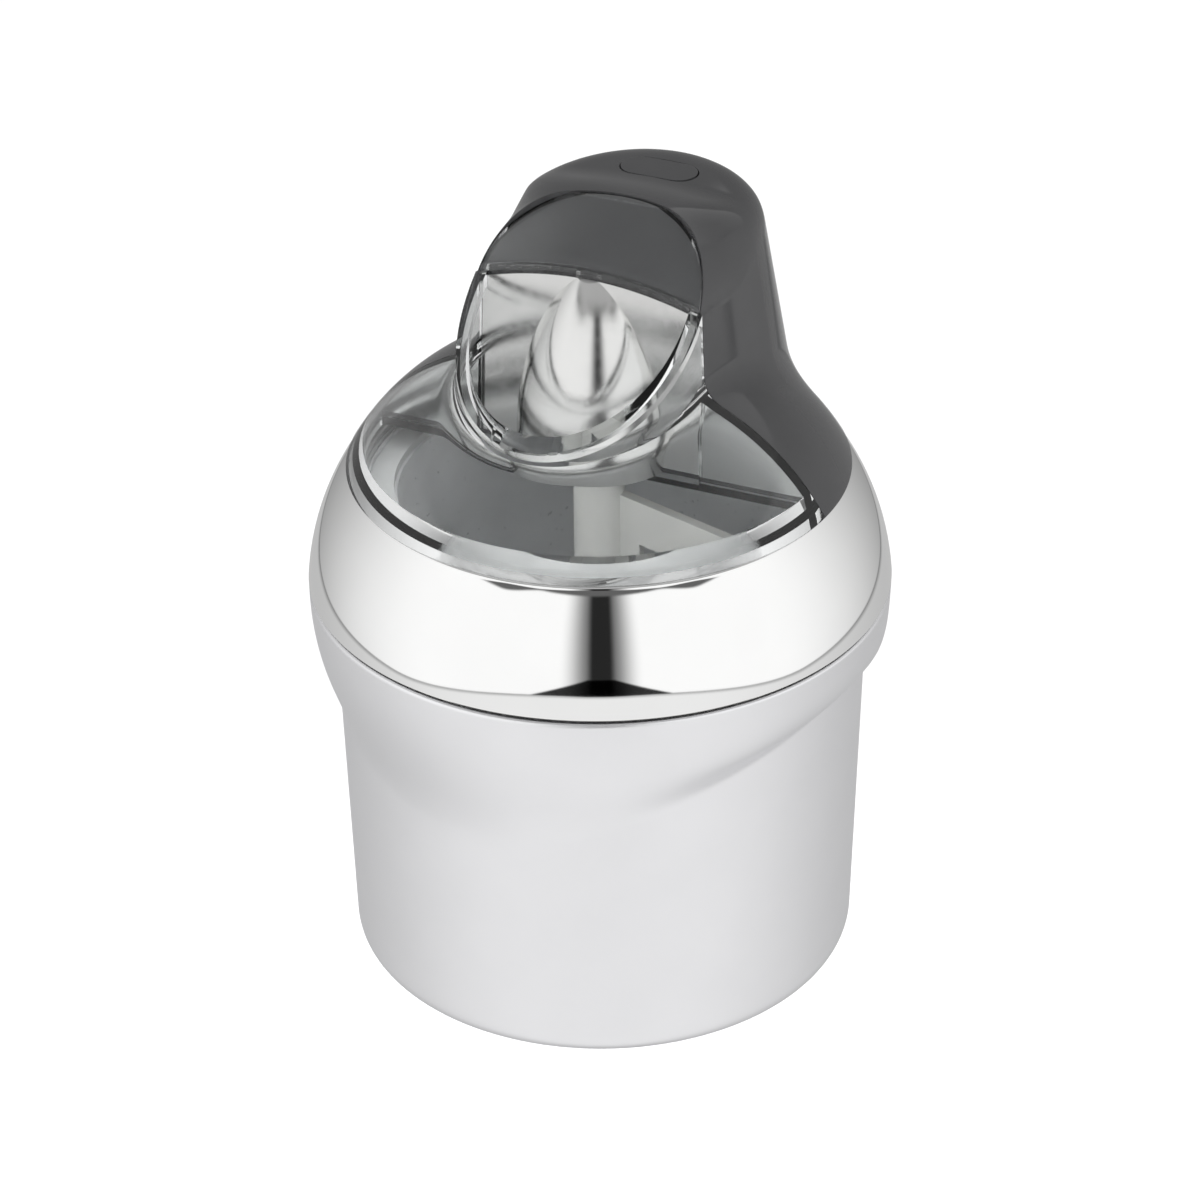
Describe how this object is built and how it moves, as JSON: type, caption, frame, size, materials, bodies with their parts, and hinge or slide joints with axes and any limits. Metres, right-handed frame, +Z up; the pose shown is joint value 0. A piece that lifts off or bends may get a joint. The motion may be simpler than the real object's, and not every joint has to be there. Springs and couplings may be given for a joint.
{
  "type": "ice cream maker",
  "caption": "Countertop ice cream maker: silver bucket casing, bright ring, freezer bowl, clear lid with filling chute and lift-off dark motor tower that turns a paddle.",
  "frame": {"origin": "centre of the resting plane under the foot pads, on the bowl's axis", "axes": "+Z up along the bowl and paddle axis, -Y towards the front where the filling chute opens, +Y to the back of the motor unit"},
  "size_m": [0.205, 0.205, 0.2813],
  "materials": {
    "satin_silver": "satin",
    "bright_chrome": "mirror",
    "dark_plastic": "matte",
    "dark_gloss": "gloss",
    "clear_plastic": "clear",
    "silver_plastic": "metallised",
    "white_plastic": "semi gloss",
    "grey_plastic": "semi gloss",
    "aluminium": "satin",
    "steel": "satin",
    "bronze": "satin",
    "copper": "enamelled wire",
    "magnet": "matte",
    "rubber": "matte",
    "silicone": "satin",
    "gel": "gel"
  },
  "bodies": {
    "casing": {"outer_casing": "satin_silver", "rim_ring": "bright_chrome", "liner": "dark_plastic", "insulation_sleeve": "white_plastic", "base_plate": "dark_plastic", "foot_pads": "rubber", "base_screws": "steel"},
    "bowl": {"bowl_inner": "aluminium", "bowl_outer": "grey_plastic", "bowl_rim": "grey_plastic", "bowl_gasket": "rubber", "coolant": "gel", "bowl_plug": "rubber"},
    "lid": {"lid_shell": "clear_plastic", "lid_bush": "white_plastic", "lid_seal": "silicone"},
    "paddle": {"paddle_hub": "white_plastic", "paddle_blade": "white_plastic", "paddle_scraper": "silicone"},
    "motor": {"motor_housing": "dark_gloss", "face_window": "clear_plastic", "front_plate": "bright_chrome", "under_cover": "dark_plastic", "cover_screws": "steel", "output_bearing": "bronze", "gear_plate": "steel", "plate_screws": "steel", "idler_pin": "steel", "motor_can": "steel", "motor_cap": "dark_plastic", "motor_magnets": "magnet", "power_switch": "dark_plastic", "button_spring": "steel", "cord_gland": "rubber"},
    "output": {"output_gear": "white_plastic", "output_shaft": "steel"},
    "idler": {"idler_gear": "white_plastic"},
    "armature": {"armature_shaft": "steel", "armature_core": "copper", "motor_pinion": "bronze"},
    "button": {"power_button": "dark_gloss"}
  },
  "joints": [
    {"name": "bowl_lift", "type": "slide", "parent": "casing", "child": "bowl", "axis": [0, 0, 1], "range_m": [0, 0.2]},
    {"name": "lid_lift", "type": "slide", "parent": "bowl", "child": "lid", "axis": [0, 0, 1], "range_m": [0, 0.16]},
    {"name": "motor_lift", "type": "slide", "parent": "lid", "child": "motor", "axis": [0, 0, 1], "range_m": [0, 0.11]},
    {"name": "paddle_spin", "type": "hinge", "parent": "lid", "child": "paddle", "pos_m": [0, 0, 0.1], "axis": [0, 0, 1], "continuous": true},
    {"name": "output_spin", "type": "hinge", "parent": "motor", "child": "output", "pos_m": [0, 0, 0.2], "axis": [0, 0, 1], "continuous": true},
    {"name": "idler_spin", "type": "hinge", "parent": "motor", "child": "idler", "pos_m": [0, 0.03, 0.206], "axis": [0, 0, 1], "continuous": true},
    {"name": "armature_spin", "type": "hinge", "parent": "motor", "child": "armature", "pos_m": [0, 0.05, 0.24], "axis": [0, 0, 1], "continuous": true},
    {"name": "button_press", "type": "slide", "parent": "motor", "child": "button", "axis": [0, 0, -1], "range_m": [0, 0.002], "stiffness_N_per_m": 300, "springref_m": -0.002, "deforming": ["button_spring"]}
  ],
  "couplings": [
    {"joint": "output_spin", "follows": "paddle_spin", "ratio": 1},
    {"joint": "idler_spin", "follows": "paddle_spin", "ratio": -3.8},
    {"joint": "armature_spin", "follows": "paddle_spin", "ratio": 11.4}
  ]
}
